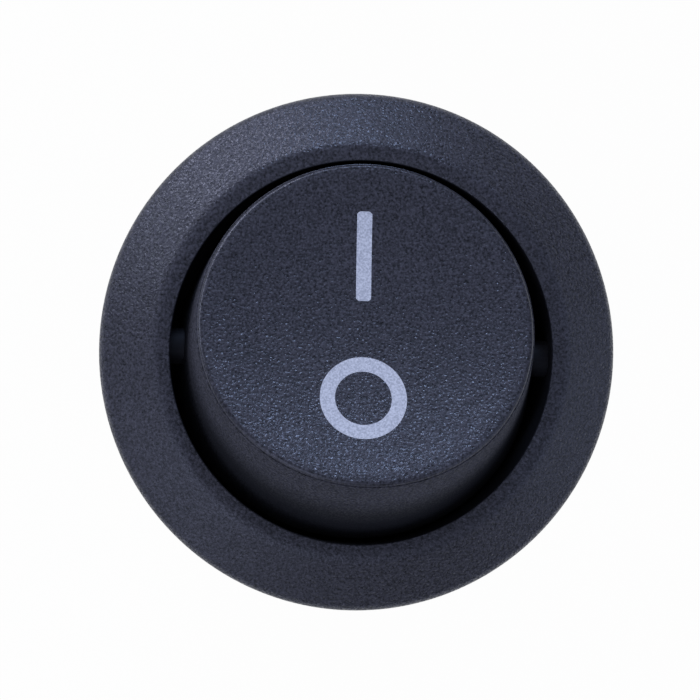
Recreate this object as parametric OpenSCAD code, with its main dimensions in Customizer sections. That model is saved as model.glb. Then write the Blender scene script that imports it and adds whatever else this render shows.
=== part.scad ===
// Round snap-in panel rocker switch, on/off, single pole, for a 20 mm cut-out.
// Millimetres. z = 0 is the front of the panel that the bezel seats on, and +Z points to the user.
// The rocker turns about the X axis, and its "on" half is on the +Y side.
// The switch is drawn switched on: the +Y half is pressed in and the contacts are closed.

/* [Bezel] */
// Outside diameter of the bezel
bezel_d = 23; // [22.6:0.1:24]
// Height of the bezel's flat inner ring above the panel
bezel_h = 2; // [1.8:0.1:2.2]
// Diameter of the circle where the flat ring meets the slope
crest_d = 18.4; // [18.2:0.1:18.8]
// Rounding of the bezel's outer edge
edge_round = 0.6; // [0.3:0.1:0.8]
// Diameter of the opening that the rocker moves in
opening_d = 16.96; // [16.94:0.02:17.2]

/* [Barrel and chamber] */
// Diameter of the barrel
barrel_d = 19.8; // [19.6:0.1:20]
// Depth of the housing behind the panel
barrel_depth = 13; // [12.8:0.1:13.6]
// Depth of the round collar; below it the housing has flat sides
collar_depth = 5.4; // [5.3:0.1:6]
// Depth of the well that the rocker's skirt swings in
well_depth = 4.12; // [4.12:0.02:4.3]
// Width of the contact chamber under the well
chamber_w = 6.8; // [6.6:0.1:7]
// Length of the contact chamber under the well
chamber_l = 15; // [14.9:0.1:15.1]
// Thickness of the housing's floor
floor_t = 1.7; // [1.5:0.1:1.8]

/* [Rocker] */
// Angle that the rocker leans to each side
rocker_tilt = 17; // [14:0.5:17]
// Diameter of the rocker's face
face_d = 14.8; // [14.7:0.05:15]
// Height of the face's rim above the pivot
face_h = 4.5; // [4.2:0.1:4.6]
// Depth of the hollow across the face
dish_depth = 0.7; // [0.4:0.1:0.8]
// Reach of the skirt below the pivot
skirt_reach = 2; // [1.6:0.1:2]
// Draft angle of the skirt
skirt_draft = 5.5; // [4:0.5:5.5]
// Wall thickness of the skirt
skirt_t = 1; // [0.8:0.1:1.2]
// Diameter of the two pivot stubs
stub_d = 1.6; // [1.4:0.1:2]

/* [Mechanism] */
// Angle that the contact arm leans to each side
arm_tilt = 9; // [8:0.5:9]
// Angle of the contact arm's wings when it is level
wing_angle = 19; // [18.5:0.5:19.5]
// Thickness of the contact arm's strip
arm_t = 0.6; // [0.5:0.05:0.6]
// Diameter of the plunger
plunger_d = 3; // [2.8:0.1:3]
// Distance from the rocker's pivot to the centre of the plunger's round nose
nose_reach = 7; // [6.9:0.05:7.1]
// Wire diameter of the plunger's spring
wire_d = 0.28; // [0.2:0.02:0.3]

/* [Terminals] */
// Width of the blades
blade_w = 4.8; // [4.6:0.1:5]
// Thickness of the blades
blade_t = 0.8; // [0.7:0.05:0.8]
// Length of the blades below the housing
blade_reach = 8; // [6:0.5:9]
// Distance between the two blades, centre to centre
blade_pitch = 7; // [6.9:0.05:7.05]

/* [Hidden] */

$fn = 64;
through = 0.5;          // how far a cut runs past a face

// Bezel and collar
bezel_r = bezel_d / 2;
crest_r = crest_d / 2;
opening_r = opening_d / 2;
lip_round = 0.08;       // of the edge between flat ring and opening
crest_round = 0.8;      // between flat ring and slope
edge_z = 0.1;           // height of the upright part of the outer edge
barrel_r = barrel_d / 2;

// Flat-sided lower housing
body_wall = 1.2;
body_w = chamber_w + 2 * body_wall;
body_l = 17;
body_round = 0.5;       // of the lower housing's upright edges
floor_z = floor_t - barrel_depth;

// Rocker, in its own frame with the pivot at the origin and the face level
face_r = face_d / 2;
rim_round = 0.2;        // rounding of the edge between face and skirt
skirt_tan = tan(skirt_draft);
cap_t = 1.2;            // least thickness under the face
cap_z = face_h - dish_depth - cap_t;
stub_end = 9.3;         // half the length over the two stubs
stub_clearance = 0.05;
tube_r = 2.35;
tube_reach = 5.6;       // how far the spring tube hangs below the pivot
rib_t = 0.9;

// Plunger and spring
nose_r = plunger_d / 2;
plunger_clearance = 0.05;
plunger_top = -4.4;
plunger_bore_r = 1.1;
plunger_bore_end = -6.6;
spring_r = 0.8;         // radius to the middle of the wire
spring_turns = 13;

// Contact arm. It rocks about the centre of the bend in its middle, at arm_z
bend_r = 0.5;           // inside radius of the bend
nose_gap = 0.16;        // kept between the plunger's nose and the arm
wing_rest = wing_angle - arm_tilt;
arm_z = -(nose_r - bend_r + nose_gap + nose_reach * cos(rocker_tilt - wing_rest)) / cos(wing_rest);
arm_w = 4.4;
waist_w = 3.4;
waist_l = 1.6;
wing_l = 3.7;           // sloping part of each wing
tip_l = 2.9;            // flatter end of each wing
tip_rise = wing_l * sin(wing_rest) - (bend_r + arm_t / 2) * cos(wing_rest);
tip_start = wing_l * cos(wing_rest) + (bend_r + arm_t / 2) * sin(wing_rest);
tip_z = arm_z + tip_rise - arm_t / 2;      // underside of the end that is down

// Contacts
contact_y = -(tip_start + 1.5);
moving_head_t = 0.6;
fixed_head_t = 0.5;
contact_gap = 0.015;
shank_r = 0.6;
ledge_z = tip_z - moving_head_t - contact_gap - fixed_head_t;

// Terminals
fork_z = arm_z - 0.95;  // top of the cradle between the prongs
prong_z = -7.7;
blade_end = -barrel_depth - blade_reach;
blade_hole_r = 0.8;
blade_hole_z = blade_end + 3.6;
slot_clearance = 0.02;

// Points on an arc from angle a to angle b
function arc(centre, r, a, b, steps) =
    [for (i = [0 : steps]) centre + r * [cos(a + (b - a) * i / steps), sin(a + (b - a) * i / steps)]];

// Moves what is drawn level to where the rocker and the arm lean at rest
module lean_rocker() rotate([-rocker_tilt, 0, 0]) children();
module lean_arm() translate([0, 0, arm_z]) rotate([arm_tilt, 0, 0]) children();

// A profile drawn in Y and Z, made w wide along X
module across(w) rotate([90, 0, 90]) linear_extrude(w, center = true) children();

// ---- Housing ----

// Half section of the bezel: r outwards, z up. The slope touches the roundings at its two ends
module bezel_section() {
    run = bezel_r - edge_round - crest_r;
    fall = bezel_h - edge_z;
    slope = atan2(fall, run) - asin(edge_round / norm([run, fall]));
    polygon(concat(
        [[opening_r, 0]],
        arc([opening_r + lip_round, bezel_h - lip_round], lip_round, 180, 90, 3),
        arc([crest_r - crest_round * tan(slope / 2), bezel_h - crest_round], crest_round, 90, 90 - slope, 6),
        arc([bezel_r - edge_round, edge_z], edge_round, 90 - slope, 0, 7),
        [[bezel_r, 0]]));
}

// Two ribs that bite into the edge of the cut-out, so that the switch can't turn in it
module grip_ribs() {
    rib_w = 0.8;
    rib_h = 0.2;
    rib_depth = collar_depth - 0.8;
    for (side = [-1, 1])
        translate([side * (barrel_r + rib_h - 0.5) - 0.5, -rib_w / 2, -rib_depth]) cube([1, rib_w, rib_depth]);
}

// Springy tongue on the +Y side, rooted at the bottom, with a saw-toothed catch under the bezel
module wing() {
    w = 6;
    root_y = body_l / 2 - 0.2;
    tooth_run = 0.25;
    tooth_z = [for (i = [0 : 3]) -0.9 - 0.55 * i];
    across(w) polygon(concat(
        [[root_y, -barrel_depth], [9.25, -barrel_depth], [9.55, -barrel_depth + 0.5], [10.7, -3.3]],
        [for (i = [3 : -1 : 0]) each [[9.95 + tooth_run * i, tooth_z[i] - 0.12], [9.95 + tooth_run * i, tooth_z[i]]]],
        [[9.95, -0.55], [9.75, -0.55], [9.75, -3.3], [8.95, -barrel_depth + 2], [root_y, -barrel_depth + 1.6]]));
}

// Rectangle with round corners, centred
module rounded(w, l, r) {
    square([w - 2 * r, l], center = true);
    square([w, l - 2 * r], center = true);
    for (x = [-1, 1], y = [-1, 1]) translate([x * (w / 2 - r), y * (l / 2 - r)]) circle(r);
}

module housing_outside() {
    rotate_extrude($fn = 128) bezel_section();
    translate([0, 0, -collar_depth]) cylinder(h = collar_depth, r = barrel_r);
    translate([0, 0, -barrel_depth]) linear_extrude(barrel_depth) rounded(body_w, body_l, body_round);
    grip_ribs();
}

module chamber() {
    corner_r = 0.6;
    deep = barrel_depth - floor_t;
    difference() {
        translate([0, 0, floor_z]) linear_extrude(deep) rounded(chamber_w, chamber_l, corner_r);
        // pedestal under the fixed contact's ledge
        translate([-chamber_w, -chamber_l / 2 - 1, floor_z - 1])
            cube([2 * chamber_w, chamber_l / 2 - 3.7 + 1, ledge_z - blade_t - floor_z + 1]);
        // shelf that stops the arm's free end
        translate([-chamber_w, 5, floor_z - 1])
            cube([2 * chamber_w, chamber_l, tip_z - 0.03 - floor_z + 1]);
    }
}

module housing() {
    relief_w = 6.8;
    relief_y = 9;
    relief_end = 10.95;
    color("#30333f") difference() {
        union() {
            difference() {
                housing_outside();
                // room for each wing to flex, and a shallow relief in the bezel over its tip
                for (s = [-1, 1]) {
                    translate([-relief_w / 2, s > 0 ? relief_y : -relief_end, -collar_depth - through])
                        cube([relief_w, relief_end - relief_y, collar_depth + through + 0.25]);
                }
            }
            wing();
            mirror([0, 1, 0]) wing();
        }
        // well for the rocker
        translate([0, 0, -well_depth]) cylinder(h = well_depth + through, r = opening_r);
        chamber();
        // sockets for the rocker's stubs
        rotate([0, 90, 0]) cylinder(h = 2 * stub_end + 0.2, r = stub_d / 2 + stub_clearance, center = true);
        // slots for the two blades
        for (y = [0, -blade_pitch]) {
            translate([-blade_w / 2 - slot_clearance, y - blade_t / 2 - slot_clearance, -barrel_depth - through])
                cube([blade_w + 2 * slot_clearance, blade_t + 2 * slot_clearance, barrel_depth + ledge_z + through]);
        }
    }
}

// ---- Rocker ----

// Height of the dished face at distance y from the pivot line
function face_z(y) = face_h - dish_depth * (1 - pow(y / face_r, 2));

// Outside of the cap and skirt, as rings of points from the skirt's foot to the middle of the face
module rocker_outside() {
    sides = 72;
    edge_r = face_r - rim_round;
    round_steps = 4;
    face_rings = 3;
    function ring(i, a) =
        i == 0 ? [face_r + (face_h + skirt_reach) * skirt_tan, -skirt_reach] :
        i <= round_steps + 1 ?
            let (turn = 90 * (i - 1) / round_steps, z = face_z(edge_r * sin(a)))
            [edge_r + rim_round * cos(turn) + (face_h - z) * skirt_tan * (1 - turn / 90),
             z - rim_round * (1 - sin(turn))] :
        let (r = edge_r * (1 - (i - round_steps - 1) / (face_rings + 1))) [r, face_z(r * sin(a))];
    rings = round_steps + 2 + face_rings;
    points = concat(
        [for (i = [0 : rings - 1], k = [0 : sides - 1])
            let (a = 360 * k / sides, p = ring(i, a)) [p[0] * cos(a), p[0] * sin(a), p[1]]],
        [[0, 0, face_z(0)]]);
    walls = [for (i = [0 : rings - 2], k = [0 : sides - 1])
        let (n = (k + 1) % sides) each [
            [i * sides + k, (i + 1) * sides + n, i * sides + n],
            [i * sides + k, (i + 1) * sides + k, (i + 1) * sides + n]]];
    top = [for (k = [0 : sides - 1]) [(rings - 1) * sides + k, rings * sides, (rings - 1) * sides + (k + 1) % sides]];
    polyhedron(points, concat(walls, top, [[for (k = [0 : sides - 1]) k]]));
}

module rocker_inside() {
    foot_r = face_r + (face_h + skirt_reach) * skirt_tan - skirt_t;
    roof_r = face_r + (face_h - cap_z) * skirt_tan - skirt_t;
    translate([0, 0, -skirt_reach]) cylinder(h = skirt_reach + cap_z, r1 = foot_r, r2 = roof_r);
}

module stub() {
    rotate([0, 90, 0]) cylinder(h = stub_end, r = stub_d / 2);
}

module rocker() {
    rib_foot = -1.2;
    color("#2c2f3b") lean_rocker() difference() {
        union() {
            difference() {
                rocker_outside();
                translate([0, 0, -through]) rocker_inside();
                rocker_inside();
            }
            // ribs from the spring tube to the skirt, under the cap
            intersection() {
                rocker_outside();
                union() {
                    translate([-face_r, -rib_t / 2, rib_foot]) cube([2 * face_r, rib_t, cap_z - rib_foot + 0.1]);
                    translate([-rib_t / 2, -face_r, 0]) cube([rib_t, 2 * face_r, cap_z + 0.1]);
                }
            }
            translate([0, 0, -tube_reach]) cylinder(h = tube_reach + cap_z + 0.1, r = tube_r);
            for (side = [0, 180]) rotate([0, 0, side]) intersection() {
                stub();
                translate([face_r - 0.4, -stub_d, -stub_d]) cube([stub_end, 2 * stub_d, 2 * stub_d]);
            }
        }
        translate([0, 0, -tube_reach - through])
            cylinder(h = tube_reach + cap_z + through, r = nose_r + plunger_clearance);
    }
}

// ---- Plunger and spring ----

module plunger() {
    color("#e9e6dc") lean_rocker() difference() {
        union() {
            translate([0, 0, -nose_reach]) sphere(nose_r);
            translate([0, 0, -nose_reach]) cylinder(h = nose_reach + plunger_top, r = nose_r);
        }
        translate([0, 0, plunger_bore_end]) cylinder(h = plunger_top - plunger_bore_end + through, r = plunger_bore_r);
    }
}

// Round wire wound from the plunger's bore up to the rocker's cap, with a closed turn at each end
module plunger_spring() {
    sides = 6;
    steps = 14;         // rings in each turn
    low = plunger_bore_end + wire_d / 2;
    high = cap_z - wire_d / 2;
    last = steps * spring_turns;
    pitch_turns = spring_turns - 2;
    closed_rise = wire_d * 1.02;
    function wire_z(turn) =
        turn < 1 ? low + closed_rise * turn :
        turn > spring_turns - 1 ? high - closed_rise * (spring_turns - turn) :
        low + closed_rise + (high - low - 2 * closed_rise) * (turn - 1) / pitch_turns;
    points = [for (i = [0 : last], k = [0 : sides - 1])
        let (a = 360 * i / steps, b = 360 * k / sides, r = spring_r + wire_d / 2 * cos(b))
        [r * cos(a), r * sin(a), wire_z(i / steps) + wire_d / 2 * sin(b)]];
    walls = [for (i = [0 : last - 1], k = [0 : sides - 1])
        let (n = (k + 1) % sides) each [
            [i * sides + k, i * sides + n, (i + 1) * sides + n],
            [i * sides + k, (i + 1) * sides + n, (i + 1) * sides + k]]];
    ends = [[for (k = [sides - 1 : -1 : 0]) k], [for (k = [0 : sides - 1]) last * sides + k]];
    color("#b9bcc0") lean_rocker() polyhedron(points, concat(walls, ends));
}

// ---- Contact arm ----

// Outline of a strip t thick that follows a line of points, with mitred bends
function strip(line, t) =
    let (n = len(line),
         heading = [for (i = [0 : n - 2]) let (d = line[i + 1] - line[i]) d / norm(d)],
         side = [for (i = [0 : n - 1])
            let (a = heading[max(i - 1, 0)], b = heading[min(i, n - 2)], m = (a + b) / norm(a + b))
            [-m.y, m.x] / (m * a) * t / 2])
    concat([for (i = [0 : n - 1]) line[i] + side[i]], [for (i = [n - 1 : -1 : 0]) line[i] - side[i]]);

// Middle line of one wing, level, from the end of the bend outwards to +Y
function wing_line() =
    let (r = bend_r + arm_t / 2, root = r * [sin(wing_angle), -cos(wing_angle)],
         knee = root + wing_l * [cos(wing_angle), sin(wing_angle)])
    [knee, knee + tip_l * [cos(arm_tilt), sin(arm_tilt)]];

module contact_arm() {
    right = wing_line();
    left = [for (p = right) [-p.x, p.y]];
    bend = arc([0, 0], bend_r + arm_t / 2, 270 - wing_angle, 270 + wing_angle, 10);
    color("#c98f5a") lean_arm() difference() {
        across(arm_w) polygon(strip(concat([left[1], left[0]], bend, right), arm_t));
        for (side = [-1, 1])
            translate([side * (waist_w / 2 + arm_w / 2), 0, -bend_r])
                cube([arm_w, waist_l, 4 * arm_t], center = true);
        rotate([-arm_tilt, 0, 0]) translate([0, contact_y, -3]) cylinder(h = 6, r = shank_r);
    }
}

module moving_contact() {
    head_r = 1.3;
    dome_r = 6;
    upset_r = 0.95;
    upset_t = 0.25;
    color("#d8dadd") translate([0, contact_y, tip_z]) {
        intersection() {
            translate([0, 0, -moving_head_t]) cylinder(h = moving_head_t, r = head_r);
            translate([0, 0, dome_r - moving_head_t]) sphere(dome_r);
        }
        cylinder(h = arm_t, r = shank_r);
        translate([0, 0, arm_t]) cylinder(h = upset_t, r1 = upset_r, r2 = upset_r - 0.2);
    }
}

// ---- Terminals and fixed contact ----

module fixed_contact() {
    head_r = 1.5;
    rim = 0.15;
    color("#d8dadd") translate([0, contact_y, ledge_z]) {
        cylinder(h = fixed_head_t - rim, r = head_r);
        translate([0, 0, fixed_head_t - rim]) cylinder(h = rim, r1 = head_r, r2 = head_r - rim);
        translate([0, 0, -blade_t]) cylinder(h = blade_t, r = shank_r);
    }
}

// Blade from z = top down to its tapered, drilled tip
module blade(top) {
    lead = 1;
    intersection() {
        rotate([90, 0, 0]) linear_extrude(blade_t, center = true) polygon([
            [-blade_w / 2, top], [-blade_w / 2, blade_end + lead], [-blade_w / 2 + lead * 0.8, blade_end],
            [blade_w / 2 - lead * 0.8, blade_end], [blade_w / 2, blade_end + lead], [blade_w / 2, top]]);
        across(blade_w) polygon([
            [-blade_t / 2, top], [-blade_t / 2, blade_end + lead], [-blade_t / 5, blade_end],
            [blade_t / 5, blade_end], [blade_t / 2, blade_end + lead], [blade_t / 2, top]]);
    }
}

module blade_hole() {
    translate([0, 0, blade_hole_z]) rotate([90, 0, 0]) cylinder(h = 2 * blade_t, r = blade_hole_r, center = true);
}

module common_terminal() {
    shoulder_w = 6;
    fork_w = 5.4;
    fork_gap = waist_w + 0.2;
    shoulder_t = 0.8;
    color("#c9c6bb") difference() {
        union() {
            blade(floor_z + 0.1);
            translate([-shoulder_w / 2, -blade_t / 2, floor_z]) cube([shoulder_w, blade_t, shoulder_t]);
            translate([-fork_w / 2, -blade_t / 2, floor_z]) cube([fork_w, blade_t, prong_z - floor_z]);
        }
        blade_hole();
        translate([-fork_gap / 2, -blade_t, fork_z]) cube([fork_gap, 2 * blade_t, prong_z - fork_z + through]);
        translate([0, 0, arm_z]) rotate([0, 90, 0]) cylinder(h = fork_gap, r = bend_r + arm_t + 0.03, center = true);
    }
}

module load_terminal() {
    ledge_w = 5.4;
    ledge_start = -blade_pitch - blade_t / 2;
    ledge_end = -3.75;
    color("#c9c6bb") difference() {
        union() {
            translate([0, -blade_pitch, 0]) blade(ledge_z);
            translate([-ledge_w / 2, ledge_start, ledge_z - blade_t]) cube([ledge_w, ledge_end - ledge_start, blade_t]);
        }
        translate([0, -blade_pitch, 0]) blade_hole();
        translate([0, contact_y, ledge_z - 2 * blade_t]) cylinder(h = 3 * blade_t, r = shank_r);
    }
}

housing();
rocker();
plunger();
plunger_spring();
contact_arm();
moving_contact();
fixed_contact();
common_terminal();
load_terminal();
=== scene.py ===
"""Looks of a round snap-in panel rocker switch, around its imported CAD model.

Shapes are built in millimetres and scaled to metres when a piece is finished. z = 0 is the panel's
front face, +Z points to the user, and the rocker turns about the X axis.
"""

import math

import bmesh
import bpy
from mathutils import Matrix, Vector

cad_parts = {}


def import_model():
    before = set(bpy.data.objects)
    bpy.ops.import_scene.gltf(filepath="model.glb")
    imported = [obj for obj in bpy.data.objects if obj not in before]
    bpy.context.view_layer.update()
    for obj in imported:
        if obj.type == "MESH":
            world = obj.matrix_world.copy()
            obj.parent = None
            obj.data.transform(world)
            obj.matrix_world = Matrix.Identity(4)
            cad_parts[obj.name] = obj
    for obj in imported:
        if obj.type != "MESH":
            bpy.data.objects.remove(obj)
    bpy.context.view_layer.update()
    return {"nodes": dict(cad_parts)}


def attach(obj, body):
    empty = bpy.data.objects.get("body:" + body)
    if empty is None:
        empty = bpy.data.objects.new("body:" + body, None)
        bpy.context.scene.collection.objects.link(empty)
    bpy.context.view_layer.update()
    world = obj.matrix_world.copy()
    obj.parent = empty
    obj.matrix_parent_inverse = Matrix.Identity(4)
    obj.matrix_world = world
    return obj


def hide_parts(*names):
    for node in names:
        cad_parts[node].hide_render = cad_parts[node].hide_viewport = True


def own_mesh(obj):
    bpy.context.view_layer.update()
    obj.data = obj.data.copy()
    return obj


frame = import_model()

scene = bpy.context.scene
MM = 0.001

# Sizes that the CAD source also has, in millimetres and degrees. Housing:
BEZEL_R, BEZEL_H, OPENING_R, BARREL_R = 11.5, 2.0, 8.48, 9.9
CREST_R, CREST_ROUND, EDGE_ROUND, EDGE_Z, LIP_ROUND = 9.2, 0.8, 0.6, 0.1, 0.08
COLLAR_DEPTH, WELL_DEPTH, BARREL_DEPTH = 5.4, 4.12, 13.0
BODY_W, BODY_L, BODY_ROUND, BODY_TOP = 9.2, 17.0, 0.5, -4.6
GRIP_W, GRIP_REACH, GRIP_DEPTH = 0.8, 0.2, COLLAR_DEPTH - 0.8     # ribs beside the collar
RELIEF_W, RELIEF_Y, RELIEF_END, RELIEF_RISE = 6.8, 9.0, 10.95, 0.25
WING_W, TEETH, TOOTH_TOP, TOOTH_PITCH, TOOTH_RUN = 6.0, 4, -0.9, 0.55, 0.25
CHAMBER_W, CHAMBER_L, FLOOR_Z = 6.8, 15.0, 1.7 - BARREL_DEPTH
PEDESTAL_Y, PEDESTAL_Z = -3.7, -10.593      # under the fixed contact's ledge
SHELF_Y, SHELF_Z = 5.0, -8.708              # where the contact arm's free end stops
# Rocker, in its own frame with the face level:
ROCKER_TILT, FACE_R, FACE_H, DISH_DEPTH, RIM_ROUND = 17.0, 7.4, 4.5, 0.7, 0.2
SKIRT_REACH, SKIRT_TAN, SKIRT_T = 2.0, math.tan(math.radians(5.5)), 1.0
CAP_Z, RIB_T, RIB_FOOT, STUB_R, STUB_END = 2.6, 0.9, -1.2, 0.8, 9.3
TUBE_R, TUBE_REACH, PLUNGER_BORE_R, PLUNGER_STROKE = 2.35, 5.6, 1.55, 0.6
SPRING_R, WIRE_R, SPRING_TURNS, SPRING_LOW = 0.8, 0.14, 13, -6.6
# Terminals:
BLADE_W, BLADE_T, BLADE_END, BLADE_PITCH, SLOT_CLEARANCE = 4.8, 0.8, -21.0, 7.0, 0.02

# Sizes of the scene alone, in millimetres
DISH_ROUND = 0.2        # extra hollow of the face, the same in all directions
LEDGE = 0.05            # step in the rocker's side where the two halves of its mould meet
CHAMFER = 0.15          # at the ends of the collar, the tube and the stubs
INK_T = 0.012           # how far the ink stands proud of the face
MARK_X, ON_Y, OFF_Y = -0.11, 3.27, -3.23    # middles of the marks on the face
THROUGH = 0.5           # how far a cut runs past a face of the housing
OVERLAP = 0.1           # how far a solid reaches into the one that it joins

LEAN = Matrix.Rotation(math.radians(-ROCKER_TILT), 4, "X")
ROCKER_UP = LEAN @ Vector((0, 0, 1))
ONTO_X = Matrix.Rotation(math.pi / 2, 4, "Y")       # lays a turned solid along X
HALF_TURN = Matrix.Rotation(math.pi, 4, "Z")
OUTLINE_IN_YZ = Matrix(((0, 0, 1, 0), (1, 0, 0, 0), (0, 1, 0, 0), (0, 0, 0, 1)))


# ---- Mesh tools ----

def link(name, bm):
    """Object from a bmesh, with its faces turned outwards."""
    bmesh.ops.recalc_face_normals(bm, faces=bm.faces)
    mesh = bpy.data.meshes.new(name)
    bm.to_mesh(mesh)
    bm.free()
    piece = bpy.data.objects.new(name, mesh)
    scene.collection.objects.link(piece)
    return piece


def lathe(name, profile, sides=256):
    """Solid turned about Z from a closed profile of (radius, z)."""
    bm = bmesh.new()
    rings = []
    for r, z in profile:
        if r < 1e-6:
            rings.append([bm.verts.new((0, 0, z))] * sides)
        else:
            angles = [math.tau * k / sides for k in range(sides)]
            rings.append([bm.verts.new((r * math.cos(a), r * math.sin(a), z)) for a in angles])
    for low, high in zip(rings, rings[1:] + rings[:1]):
        for k in range(sides):
            n = (k + 1) % sides
            loop = list(dict.fromkeys([low[k], low[n], high[n], high[k]]))
            if len(loop) > 2:
                bm.faces.new(loop)
    return link(name, bm)


def block(name, low, high, bevel=0.0, steps=3, upright_only=False, foot=0.0):
    """Box between two corners. bevel rounds its edges, or only the upright ones, and foot rounds
    the edges round its lower face."""
    bm = bmesh.new()
    bmesh.ops.create_cube(bm, size=1)
    low, high = Vector(low), Vector(high)
    for v in bm.verts:
        v.co = (low + high) / 2 + Vector(a * b for a, b in zip(v.co, high - low))
    if bevel:
        round_edges(bm, [e for e in bm.edges if not upright_only or upright(e)], bevel, steps)
    if foot:
        lowest = [e for e in bm.edges if all(v.co.z < low.z + 1e-4 for v in e.verts)]
        round_edges(bm, lowest, foot, 3)
    return link(name, bm)


def round_edges(bm, edges, radius, steps):
    bmesh.ops.bevel(bm, geom=edges, offset=radius, segments=steps, profile=0.5, affect="EDGES")


def upright(edge):
    return abs((edge.verts[1].co - edge.verts[0].co).normalized().z) > 0.99


def prism(name, outline, low, high, place):
    """Outline drawn in two axes and run from low to high along the third, then put in place."""
    bm = bmesh.new()
    ends = [[bm.verts.new((u, v, w)) for u, v in outline] for w in (low, high)]
    for end in ends:
        bm.faces.new(end)
    for k in range(len(outline)):
        n = (k + 1) % len(outline)
        bm.faces.new([ends[0][k], ends[0][n], ends[1][n], ends[1][k]])
    bmesh.ops.recalc_face_normals(bm, faces=bm.faces)
    bm.transform(place)
    return link(name, bm)


def combine(base, others, how):
    """Adds the others to base, or cuts them from it."""
    for other in others:
        modifier = base.modifiers.new(how, "BOOLEAN")
        modifier.operation, modifier.solver, modifier.object = how, "EXACT", other
        made = base.evaluated_get(bpy.context.evaluated_depsgraph_get())
        mesh = bpy.data.meshes.new_from_object(made)
        base.modifiers.clear()
        base.data = mesh
        bpy.data.objects.remove(other)


def arc(r0, z0, radius, start, end, steps):
    """Points on an arc about (r0, z0), between two angles in degrees."""
    turns = [math.radians(start + (end - start) * i / steps) for i in range(steps + 1)]
    return [(r0 + radius * math.cos(a), z0 + radius * math.sin(a)) for a in turns]


def finish_piece(piece, body, material, replaced=(), place=Matrix.Identity(4)):
    """Cleans, scales to metres, puts in place, smooths, dresses and rides a piece."""
    crease = 32     # degrees, from which an edge is sharp
    mesh = piece.data
    bm = bmesh.new()
    bm.from_mesh(mesh)
    bmesh.ops.remove_doubles(bm, verts=bm.verts, dist=0.0004)
    bmesh.ops.dissolve_degenerate(bm, edges=bm.edges, dist=0.0002)
    bm.to_mesh(mesh)
    bm.free()
    mesh.transform(Matrix.Scale(MM, 4) @ place)
    mesh.shade_smooth()
    mesh.set_sharp_from_angle(angle=math.radians(crease))
    mesh.materials.clear()
    mesh.materials.append(material)
    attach(piece, body)
    if replaced:
        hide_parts(*replaced)
    return piece


# ---- Materials ----

class Shader:
    """A material's node tree, with a Principled surface and short ways to add nodes."""

    def __init__(self, name):
        self.material = bpy.data.materials.new(name)
        self.material.use_nodes = True
        self.tree = self.material.node_tree
        self.surface = self.tree.nodes["Principled BSDF"]
        coordinates = self.add("ShaderNodeTexCoord").outputs
        self.where, self.normal = coordinates["Object"], coordinates["Normal"]

    def add(self, kind, inputs=None, **settings):
        node = self.tree.nodes.new(kind)
        for key, value in settings.items():
            setattr(node, key, value)
        for key, value in (inputs or {}).items():
            self.put(node.inputs[key], value)
        return node

    def put(self, socket, value):
        if isinstance(value, bpy.types.NodeSocket):
            self.tree.links.new(value, socket)
        else:
            socket.default_value = value

    def noise(self, size, detail=2.0, roughness=0.5, where=None):
        """Noise whose grains are about size millimetres apart."""
        return self.add("ShaderNodeTexNoise", {
            "Vector": where or self.where, "Scale": 1 / (size * MM), "Detail": detail,
            "Roughness": roughness}).outputs["Fac"]

    def ramp(self, value, low, high, to_low=0.0, to_high=1.0):
        """Goes from to_low to to_high as value goes from low to high, and stays there beyond."""
        return self.add("ShaderNodeMapRange", {
            "Value": value, "From Min": low, "From Max": high, "To Min": to_low, "To Max": to_high,
        }).outputs["Result"]

    def math(self, how, a, b=0.0):
        return self.add("ShaderNodeMath", {0: a, 1: b}, operation=how).outputs[0]

    def along(self, vector, axis):
        """How far a vector reaches along an axis, or its product with another vector."""
        return self.add("ShaderNodeVectorMath", {0: vector, 1: axis},
                        operation="DOT_PRODUCT").outputs["Value"]

    def between(self, share, a, b):
        """Number between a and b."""
        return self.add("ShaderNodeMix", {"Factor": share, "A": a, "B": b}).outputs["Result"]

    def mix(self, share, a, b):
        """Colour between a and b."""
        node = self.add("ShaderNodeMix", {"Factor": share}, data_type="RGBA")
        self.put(node.inputs[6], a)
        self.put(node.inputs[7], b)
        return node.outputs[2]

    def bump(self, height, depth, strength=1.0):
        """Relief of depth millimetres."""
        return self.add("ShaderNodeBump", {
            "Height": height, "Distance": depth * MM, "Strength": strength}).outputs["Normal"]

    def set(self, **values):
        """Sets the surface's inputs, such as base_color for Base Color."""
        for key, value in values.items():
            self.put(self.surface.inputs[key.replace("_", " ").title()], value)
        return self.material


def srgb(r, g, b):
    """Linear colour from display values of 0 to 255."""
    return tuple(((c / 255 + 0.055) / 1.055) ** 2.4 if c > 10 else c / 255 / 12.92
                 for c in (r, g, b)) + (1.0,)


PLASTIC_DARK, PLASTIC_LIGHT = srgb(22, 24, 31), srgb(62, 64, 79)
PLASTIC_PAINTED_SHADE = srgb(11, 12, 18)             # painted shade: a dark colour for places deep in the gap round the rocker, which are also untextured
PLASTIC_SHEEN = (0.66, 0.74, 1.0, 1.0)
PLASTIC_GRAIN, PLASTIC_RELIEF = 0.115, 0.029        # millimetres
GLINT_ROUGH, DULL_ROUGH, BARE_ROUGH = 0.2, 0.65, 0.7
SIDE_DULL = 0.45                            # added to the roughness of steep faces


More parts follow.
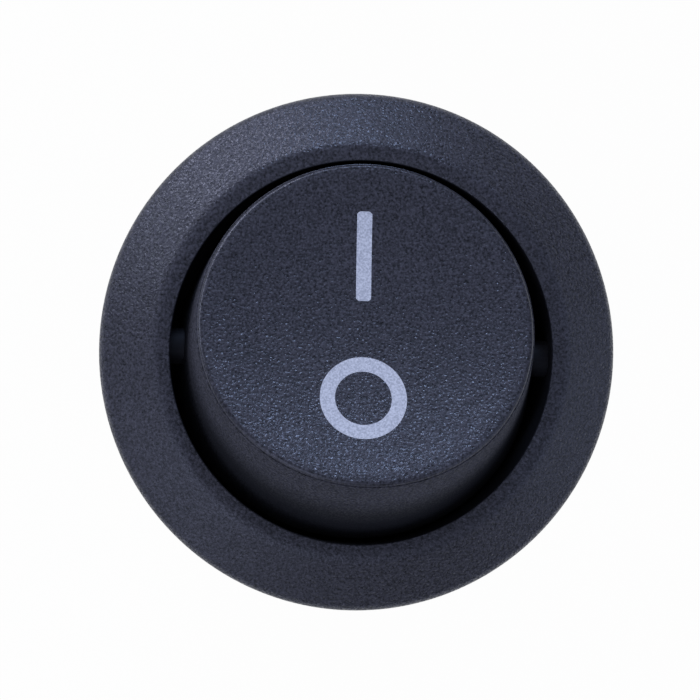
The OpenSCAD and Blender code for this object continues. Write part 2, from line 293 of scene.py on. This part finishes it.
def moulded_plastic(name, bare_and_shade_share, up=None):
    """Spark-eroded dark plastic: fine crisp grains that glint where the light catches them.
    The second argument gives the share of surface at each point that is left untextured and
    painted dark as shade. With a direction up, faces that stand steep to it, such as a skirt, are
    duller, and the rim of the face is rubbed smooth."""
    s = Shader(name)
    fine = s.noise(PLASTIC_GRAIN, detail=1.0)
    pits = s.add("ShaderNodeTexVoronoi", {
        "Vector": s.where, "Scale": 1 / (PLASTIC_GRAIN * 1.25 * MM)}).outputs["Distance"]
    height = s.math("ADD", fine, s.math("MULTIPLY", pits, 0.4))
    cloudy = s.noise(2.5)
    tone = s.math("MULTIPLY", s.ramp(fine, 0.3, 0.7), s.ramp(cloudy, 0.3, 0.7, 0.85, 1.0))
    gloss = s.ramp(s.noise(PLASTIC_GRAIN * 0.8, detail=1.0), 0.36, 0.62, DULL_ROUGH, GLINT_ROUGH)
    bare_and_shade, worn = bare_and_shade_share(s), 0.0
    if up:
        steep = s.ramp(s.along(s.normal, up), 0.35, 0.7, SIDE_DULL, 0.0)
        worn = rubbed_rim(s, up)
        gloss = s.between(worn, s.math("ADD", gloss, steep), GLINT_ROUGH)
    # Where that share is high, the base colour turns to a painted shade colour, and the bump and
    # fine roughness fall away.
    return s.set(
        base_color=s.mix(bare_and_shade, s.mix(tone, PLASTIC_DARK, PLASTIC_LIGHT), PLASTIC_PAINTED_SHADE),
        roughness=s.math("MAXIMUM", gloss, s.math("MULTIPLY", bare_and_shade, BARE_ROUGH)),
        specular_tint=PLASTIC_SHEEN,
        normal=s.bump(height, PLASTIC_RELIEF,
                      s.math("SUBTRACT", 1.0, s.math("MAXIMUM", bare_and_shade, worn))))


def in_well(s):
    """Share of painted shade and of untextured surface: the walls of the rocker's well and its
    floor, which lie in shade, but not the outside of the lower body.
    """
    flat = s.add("ShaderNodeVectorMath", {0: s.where, 1: (1, 1, 0)}, operation="MULTIPLY")
    radius = s.add("ShaderNodeVectorMath", {0: flat.outputs[0]}, operation="LENGTH")
    inside = s.ramp(radius.outputs["Value"], (OPENING_R + 0.02) * MM, (OPENING_R + 0.06) * MM,
                    1.0, 0.0)
    above = s.ramp(s.along(s.where, (0, 0, 1)),
                   (0.2 - COLLAR_DEPTH) * MM, (0.4 - COLLAR_DEPTH) * MM)
    return s.math("MULTIPLY", inside, above)


def rubbed_rim(s, up):
    """The edge of the rocker's face, which fingers have rubbed smoother than the rest."""
    height = s.along(s.where, up)
    radius = s.math("SQRT", s.math("SUBTRACT", s.along(s.where, s.where),
                                   s.math("MULTIPLY", height, height)))
    edge = s.ramp(radius, (FACE_R - RIM_ROUND - 0.04) * MM, (FACE_R - 0.12) * MM, 0.0, 0.65)
    return s.math("MULTIPLY", edge, s.ramp(s.along(s.normal, up), 0.25, 0.5))


def below_skirt(s):
    """Share of painted shade and of untextured surface: the rocker's stubs and the foot of its
    skirt, which lie in the shaded gap, darker towards the foot.
    """
    return s.ramp(s.along(s.where, ROCKER_UP), 0.8 * MM, 2.6 * MM, 1.0, 0.0)


def mark_ink():
    """Pale printing ink, slightly uneven."""
    s = Shader("mark_ink")
    grain = s.noise(0.09, detail=1.0)
    return s.set(
        base_color=s.mix(s.ramp(grain, 0.34, 0.66), srgb(158, 168, 195), srgb(193, 203, 231)),
        roughness=0.6, normal=s.bump(grain, 0.006))


def nylon():
    """Natural nylon, faintly cloudy."""
    s = Shader("plunger_nylon")
    cloudy = s.noise(1.2, detail=3.0)
    return s.set(
        base_color=s.mix(s.ramp(cloudy, 0.3, 0.7), srgb(226, 222, 208), srgb(238, 235, 224)),
        roughness=s.ramp(cloudy, 0.3, 0.7, 0.35, 0.48), subsurface_weight=0.15,
        normal=s.bump(s.noise(0.15), 0.003))


def metal(name, colour, worn, rough, brush=(1, 1, 1)):
    """Stamped or drawn metal with stains, a soft sheen, and faint lines along the axis in which
    brush is small."""
    s = Shader(name)
    stretched = s.add("ShaderNodeMapping", {"Vector": s.where, "Scale": brush}).outputs[0]
    lines = s.noise(0.08, detail=4.0, roughness=0.6, where=stretched)
    stain = s.noise(1.6, detail=4.0, roughness=0.6)
    both = s.math("ADD", s.math("MULTIPLY", lines, 0.5), s.math("MULTIPLY", stain, 0.5))
    return s.set(
        metallic=1.0,
        base_color=s.mix(s.ramp(stain, 0.42, 0.72), colour, worn),
        roughness=s.ramp(both, 0.35, 0.65, rough - 0.07, rough + 0.1),
        normal=s.bump(lines, 0.002))


housing_plastic = moulded_plastic("housing_plastic", in_well)
rocker_plastic = moulded_plastic("rocker_plastic", below_skirt, ROCKER_UP)
ink = mark_ink()
plunger_nylon = nylon()
spring_steel = metal("spring_steel", srgb(188, 190, 196), srgb(150, 152, 158), 0.28)
copper_strip = metal("copper_strip", srgb(214, 150, 104), srgb(176, 112, 76), 0.3, (1, 0.06, 1))
contact_silver = metal("contact_silver", srgb(228, 229, 232), srgb(186, 186, 190), 0.24)
tinned_brass = metal("tinned_brass", srgb(212, 210, 203), srgb(182, 178, 166), 0.3, (1, 1, 0.05))


# ---- Housing ----

def bezel_profile():
    """Closed half section of bezel, collar and well. The slope of the bezel touches the
    roundings at its ends."""
    run, fall = BEZEL_R - EDGE_ROUND - CREST_R, BEZEL_H - EDGE_Z
    slope = math.atan2(fall, run) - math.asin(EDGE_ROUND / math.hypot(run, fall))
    crest_z, crest_r = BEZEL_H - CREST_ROUND, CREST_R - CREST_ROUND * math.tan(slope / 2)
    steep = 90 - math.degrees(slope)
    back_round = 0.03       # of the bezel's edge on the panel
    return [
        (0, -COLLAR_DEPTH), (BARREL_R - CHAMFER, -COLLAR_DEPTH),
        (BARREL_R, -COLLAR_DEPTH + CHAMFER), (BARREL_R, 0),
        (BEZEL_R - back_round, 0), (BEZEL_R, back_round),
        *arc(BEZEL_R - EDGE_ROUND, EDGE_Z, EDGE_ROUND, 0, steep, 10),
        *arc(crest_r, crest_z, CREST_ROUND, steep, 90, 8),
        *arc(OPENING_R + LIP_ROUND, BEZEL_H - LIP_ROUND, LIP_ROUND, 90, 180, 4),
        (OPENING_R, -WELL_DEPTH), (0, -WELL_DEPTH)]


def wing():
    """Springy tongue with a saw-toothed catch, on the +Y side. Its outline is in Y and Z."""
    root_y, catch_y, knee_z = BODY_L / 2 - 0.2, 9.95, -3.3
    teeth = []
    for i in reversed(range(TEETH)):
        y, z = catch_y + TOOTH_RUN * i, TOOTH_TOP - TOOTH_PITCH * i
        teeth += [(y, z - 0.12), (y, z)]
    outline = [(root_y, -BARREL_DEPTH), (9.25, -BARREL_DEPTH), (9.55, -BARREL_DEPTH + 0.5),
               (10.7, knee_z), *teeth, (catch_y, -0.55), (9.75, -0.55), (9.75, knee_z),
               (8.95, -BARREL_DEPTH + 2), (root_y, -BARREL_DEPTH + 1.6)]
    return prism("wing", outline, -WING_W / 2, WING_W / 2, OUTLINE_IN_YZ)


def turned_half(piece):
    """Copy of a piece, turned half round the Z axis."""
    copy = piece.copy()
    copy.data = piece.data.copy()
    copy.data.transform(HALF_TURN)
    scene.collection.objects.link(copy)
    return copy


def housing():
    shell = lathe("housing_shell", bezel_profile())
    body = block("body", (-BODY_W / 2, -BODY_L / 2, -BARREL_DEPTH),
                 (BODY_W / 2, BODY_L / 2, BODY_TOP), BODY_ROUND, 6, True, 0.2)
    rib_x = BARREL_R + GRIP_REACH - 0.5
    ribs = [block("rib", (x - 0.5, -GRIP_W / 2, -GRIP_DEPTH), (x + 0.5, GRIP_W / 2, 0.01), 0.12, 2)
            for x in (rib_x, -rib_x)]
    combine(shell, [body, *ribs], "UNION")
    reliefs = [block("relief", (-RELIEF_W / 2, low, -COLLAR_DEPTH - THROUGH),
                     (RELIEF_W / 2, high, RELIEF_RISE))
               for low, high in ((RELIEF_Y, RELIEF_END), (-RELIEF_END, -RELIEF_Y))]
    combine(shell, reliefs, "DIFFERENCE")
    tongue = wing()
    combine(shell, [turned_half(tongue), tongue], "UNION")
    chamber = block("chamber", (-CHAMBER_W / 2, -CHAMBER_L / 2, FLOOR_Z),
                    (CHAMBER_W / 2, CHAMBER_L / 2, 0), 0.6, 4, True)
    pedestal = block("pedestal", (-CHAMBER_W, -CHAMBER_L, FLOOR_Z - THROUGH),
                     (CHAMBER_W, PEDESTAL_Y, PEDESTAL_Z))
    shelf = block("shelf", (-CHAMBER_W, SHELF_Y, FLOOR_Z - THROUGH),
                  (CHAMBER_W, CHAMBER_L, SHELF_Z))
    combine(chamber, [pedestal, shelf], "DIFFERENCE")
    socket_r, socket_end = STUB_R + 0.05, STUB_END + 0.1
    socket = lathe("socket", [(0, -socket_end), (socket_r, -socket_end),
                              (socket_r, socket_end), (0, socket_end)], 64)
    socket.data.transform(ONTO_X)
    half_w, half_t = BLADE_W / 2 + SLOT_CLEARANCE, BLADE_T / 2 + SLOT_CLEARANCE
    slots = [block("slot", (-half_w, y - half_t, -BARREL_DEPTH - THROUGH),
                   (half_w, y + half_t, PEDESTAL_Z + BLADE_T))
             for y in (0, -BLADE_PITCH)]
    combine(shell, [chamber, socket, *slots], "DIFFERENCE")
    finish_piece(shell, "housing", housing_plastic, ["housing"])


# ---- Rocker ----

def face_z(x, y):
    """Height of the face, dished along the rocking direction and slightly all round."""
    return (FACE_H - DISH_DEPTH * (1 - (y / FACE_R) ** 2)
            - DISH_ROUND * (1 - (x * x + y * y) / FACE_R ** 2))


def skirt_r(z):
    return FACE_R + (FACE_H - z) * SKIRT_TAN


def rocker_ring(kind, t, drop, a):
    """Radius and height of one ring of the rocker's outside, at the angle a round it. t is how far
    the ring lies along its kind of surface, and drop how far it lies below the ledge."""
    edge_r = FACE_R - RIM_ROUND
    if kind == "face":
        return edge_r * t, face_z(edge_r * t * math.cos(a), edge_r * t * math.sin(a))
    low = face_z(edge_r * math.cos(a), edge_r * math.sin(a)) - RIM_ROUND
    if kind == "skirt":
        z = -SKIRT_REACH + (low - LEDGE / 3 + SKIRT_REACH) * t
        return skirt_r(z), z
    if kind == "ledge":
        return skirt_r(low) - t * LEDGE, low - drop * LEDGE
    turn = math.radians(t)
    return (edge_r + (skirt_r(low) - LEDGE - edge_r) * math.cos(turn),
            low + RIM_ROUND * math.sin(turn))


def rocker_outside(sides=256):
    """Cap and skirt, from the skirt's foot over the parting line and the rim to the face."""
    rings = [("skirt", i / 6, 0) for i in range(6)]
    rings += [("ledge", *at) for at in ((0, 0.4), (0.12, 0.12), (0.4, 0), (1, 0))]
    rings += [("rim", 10 * i, 0) for i in range(1, 10)]
    rings += [("face", 1 - i / 14, 0) for i in range(1, 14)]
    bm = bmesh.new()
    made = []
    for kind, t, drop in rings:
        loop = []
        for k in range(sides):
            a = math.tau * k / sides
            r, z = rocker_ring(kind, t, drop, a)
            loop.append(bm.verts.new((r * math.cos(a), r * math.sin(a), z)))
        made.append(loop)
    for low, high in zip(made, made[1:]):
        for k in range(sides):
            n = (k + 1) % sides
            bm.faces.new([low[k], low[n], high[n], high[k]])
    middle = bm.verts.new((0, 0, face_z(0, 0)))
    for k in range(sides):
        bm.faces.new([made[-1][k], made[-1][(k + 1) % sides], middle])
    bm.faces.new(made[0])
    return link("rocker_button", bm)


def rocker():
    button = rocker_outside()
    foot_r, roof_r = skirt_r(-SKIRT_REACH) - SKIRT_T, skirt_r(CAP_Z) - SKIRT_T
    mouth, bore_mouth = -SKIRT_REACH - 1, -TUBE_REACH - 1       # a little below, to cut clean
    hollow = lathe("hollow", [(0, mouth), (foot_r, mouth), (foot_r, -SKIRT_REACH),
                              (roof_r, CAP_Z), (0, CAP_Z)], 128)
    past_r, past_z, half_t = 9, 3, RIB_T / 2        # the ribs' blocks reach past the hollow
    ribs = [block("rib", (-past_r, -half_t, RIB_FOOT), (past_r, half_t, past_z)),
            block("rib", (-half_t, -past_r, 0), (half_t, past_r, past_z))]
    combine(hollow, ribs, "DIFFERENCE")
    combine(button, [hollow], "DIFFERENCE")
    tube = lathe("tube", [(0, -TUBE_REACH), (TUBE_R - CHAMFER, -TUBE_REACH),
                          (TUBE_R, -TUBE_REACH + CHAMFER), (TUBE_R, CAP_Z + OVERLAP),
                          (0, CAP_Z + OVERLAP)], 96)
    combine(button, [tube], "UNION")
    stub_root = FACE_R - 0.4
    for side in (0, math.pi):
        stub = lathe("stub", [(0, stub_root), (STUB_R, stub_root), (STUB_R, STUB_END - CHAMFER),
                              (STUB_R - CHAMFER, STUB_END), (0, STUB_END)], 64)
        stub.data.transform(Matrix.Rotation(side, 4, "Z") @ ONTO_X)
        combine(button, [stub], "UNION")
    bore = lathe("bore", [(0, bore_mouth), (PLUNGER_BORE_R, bore_mouth),
                          (PLUNGER_BORE_R, CAP_Z), (0, CAP_Z)], 64)
    combine(button, [bore], "DIFFERENCE")
    finish_piece(button, "rocker", rocker_plastic, ["rocker"], LEAN)


# ---- Printed marks ----

def printed(name, rows, closed=False):
    """Thin ink that follows the dished face. rows are lists of (x, y) points of equal length."""
    bm = bmesh.new()
    layers = [[[bm.verts.new((x, y, face_z(x, y) + lift)) for x, y in row] for row in rows]
              for lift in (-INK_T, INK_T)]
    low, top = layers
    count, last = len(rows), len(rows[0]) - 1
    for i in range(count if closed else count - 1):
        n = (i + 1) % count
        for layer in layers:
            for k in range(last):
                bm.faces.new([layer[i][k], layer[i][k + 1], layer[n][k + 1], layer[n][k]])
        for k in (0, last):
            bm.faces.new([low[i][k], top[i][k], top[n][k], low[n][k]])
    if not closed:
        for i in (0, count - 1):
            for k in range(last):
                bm.faces.new([low[i][k], top[i][k], top[i][k + 1], low[i][k + 1]])
    finish_piece(link(name, bm), "rocker", ink, (), LEAN)


def mark_on():
    """The bar, with softly rounded corners."""
    half_w, half_l, corner, steps = 0.335, 2.0, 0.12, 40
    rows = []
    for i in range(steps + 1):
        y = -half_l + 2 * half_l * i / steps
        short = max(0.0, corner - (half_l - abs(y)))
        w = half_w - (corner - math.sqrt(max(corner ** 2 - short ** 2, 0.0)))
        rows.append([(MARK_X + w * (j / 4 - 1), ON_Y + y) for j in range(9)])
    printed("mark_on", rows)


def mark_off():
    """The ring."""
    steps = 96
    rows = []
    for i in range(steps):
        a = math.tau * i / steps
        rows.append([(MARK_X + r * math.cos(a), OFF_Y + r * math.sin(a))
                     for r in (1.25, 1.42, 1.59, 1.75, 1.92)])
    printed("mark_off", rows, True)


# ---- Spring ----

def spring():
    """Round wire wound from the plunger's bore up to the rocker's cap, with closed end turns."""
    sides, steps = 10, 28
    low, high = SPRING_LOW + WIRE_R, CAP_Z - WIRE_R
    closed = WIRE_R * 2.04      # rise of a closed turn
    bm = bmesh.new()
    rings = []
    for i in range(steps * SPRING_TURNS + 1):
        turn = i / steps
        if turn < 1:
            z = low + closed * turn
        elif turn > SPRING_TURNS - 1:
            z = high - closed * (SPRING_TURNS - turn)
        else:
            z = low + closed + (high - low - 2 * closed) * (turn - 1) / (SPRING_TURNS - 2)
        a = math.tau * turn
        ring = []
        for k in range(sides):
            b = math.tau * k / sides
            r = SPRING_R + WIRE_R * math.cos(b)
            ring.append(bm.verts.new((r * math.cos(a), r * math.sin(a), z + WIRE_R * math.sin(b))))
        rings.append(ring)
    for near, far in zip(rings, rings[1:]):
        for k in range(sides):
            n = (k + 1) % sides
            bm.faces.new([near[k], near[n], far[n], far[k]])
    bm.faces.new(rings[0])
    bm.faces.new(rings[-1])
    coil = finish_piece(link("spring_coil", bm), "rocker", spring_steel,
                        ["plunger_spring"], LEAN)
    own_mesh(coil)


housing()
rocker()
mark_on()
mark_off()
spring()

# CAD nodes that show their own mesh
for node, material, slot in (("plunger", plunger_nylon, "plunger_nylon"),
                             ("contact_arm", copper_strip, "copper_strip"),
                             ("moving_contact", contact_silver, "contact_silver"),
                             ("fixed_contact", contact_silver, "contact_silver"),
                             ("common_terminal", tinned_brass, "tinned_brass"),
                             ("load_terminal", tinned_brass, "tinned_brass")):
    part = frame["nodes"][node]
    part.data.materials.clear()
    part.data.materials.append(material)


# ---- Stage ----

def floor():
    """White floor that the blades stand on. It is clear from below, and keeps a soft shadow."""
    gap = 0.00002           # metres below the blades
    white_share = 0.97      # the rest shows the shadow
    bm = bmesh.new()
    bmesh.ops.create_grid(bm, x_segments=1, y_segments=1, size=0.6)
    ground = link("floor", bm)
    ground.location.z = BLADE_END * MM - gap
    s = Shader("floor_white")
    path = s.add("ShaderNodeLightPath").outputs
    below = s.add("ShaderNodeNewGeometry").outputs["Backfacing"]
    direct = s.math("ADD", path["Is Camera Ray"], path["Is Glossy Ray"])
    seen = s.math("MINIMUM", s.math("ADD", direct, path["Is Transmission Ray"]), 1.0)
    share = s.math("MULTIPLY", seen, white_share)
    matte = s.add("ShaderNodeBsdfDiffuse", {"Color": (0.85, 0.85, 0.85, 1)}).outputs[0]
    glow = s.add("ShaderNodeEmission", {"Color": (1, 1, 1, 1), "Strength": 1.0}).outputs[0]
    clear = s.add("ShaderNodeBsdfTransparent").outputs[0]
    blend = s.add("ShaderNodeMixShader", {0: share, 1: matte, 2: glow}).outputs[0]
    whole = s.add("ShaderNodeMixShader", {0: below, 1: blend, 2: clear}).outputs[0]
    s.tree.links.new(whole, s.tree.nodes["Material Output"].inputs["Surface"])
    s.tree.nodes.remove(s.surface)
    ground.data.materials.append(s.material)


def world(colour, strength):
    """Dim light from all round, with white behind everything."""
    made = bpy.data.worlds.new("studio")
    made.use_nodes = True
    nodes, links = made.node_tree.nodes, made.node_tree.links
    nodes.clear()
    path = nodes.new("ShaderNodeLightPath")
    white, dim = nodes.new("ShaderNodeBackground"), nodes.new("ShaderNodeBackground")
    white.inputs["Color"].default_value = (1, 1, 1, 1)
    dim.inputs["Color"].default_value = colour
    dim.inputs["Strength"].default_value = strength
    mix, out = nodes.new("ShaderNodeMixShader"), nodes.new("ShaderNodeOutputWorld")
    links.new(path.outputs["Is Camera Ray"], mix.inputs[0])
    links.new(dim.outputs[0], mix.inputs[1])
    links.new(white.outputs[0], mix.inputs[2])
    links.new(mix.outputs[0], out.inputs["Surface"])
    scene.world = made


def softbox(name, turn, off_axis, width, height, power, colour=(1, 1, 1)):
    """Area light that faces the switch. turn is its direction round the switch's face and
    off_axis its angle from +Z, in degrees. Sizes are in metres and power in watts."""
    distance = 0.4
    t, o = math.radians(turn), math.radians(off_axis)
    place = Vector((math.sin(o) * math.cos(t), math.sin(o) * math.sin(t), math.cos(o))) * distance
    lamp = bpy.data.lights.new(name, "AREA")
    lamp.shape, lamp.size, lamp.size_y = "RECTANGLE", width, height
    lamp.energy, lamp.color = power, colour
    holder = bpy.data.objects.new(name, lamp)
    holder.location = place
    holder.rotation_mode = "QUATERNION"
    holder.rotation_quaternion = place.to_track_quat("Z", "Y")
    scene.collection.objects.link(holder)


def camera():
    """Almost face-on, a little from the left, with the switch turned slightly clockwise."""
    side, lift, roll = math.radians(5.7), math.radians(0.3), math.radians(2.05)
    distance, view_width, sensor = 250.0, 31.17, 36.0
    aim_right, aim_up = -0.314, 0.099       # middle of the view, from the pivot
    back = Vector((-math.sin(side) * math.cos(lift), math.sin(lift),
                   math.cos(side) * math.cos(lift)))
    right = Vector((0, 1, 0)).cross(back).normalized()
    up = back.cross(right)
    right, up = (right * math.cos(roll) + up * math.sin(roll),
                 up * math.cos(roll) - right * math.sin(roll))
    aim = right * aim_right + up * aim_up
    data = bpy.data.cameras.new("camera")
    data.sensor_width, data.lens = sensor, sensor * distance / view_width
    data.clip_start, data.clip_end = 0.01, 10.0
    eye = bpy.data.objects.new("camera", data)
    turn = Matrix((right, up, back)).transposed().to_4x4()
    eye.matrix_world = Matrix.Translation((aim + back * distance) * MM) @ turn
    scene.collection.objects.link(eye)
    scene.camera = eye


floor()
world((1.0, 0.97, 0.95, 1.0), 0.2)
softbox("key", 129, 74, 0.09, 0.14, 0.36, (1.0, 0.96, 1.0))
softbox("key_high", 109, 73, 0.09, 0.14, 0.28, (1.0, 0.96, 1.0))
softbox("upper_left", 152, 68, 0.12, 0.12, 0.2)
softbox("top", 86, 60, 0.09, 0.09, 0.42, (0.7, 0.82, 1.0))
softbox("left", 222, 58, 0.36, 0.36, 0.3, (0.92, 0.92, 1.0))
softbox("right", 345, 60, 0.36, 0.36, 0.28, (0.8, 0.86, 1.0))
softbox("fill", 240, 38, 0.4, 0.4, 0.36, (0.92, 0.92, 1.0))
camera()

scene.view_settings.view_transform = "Standard"
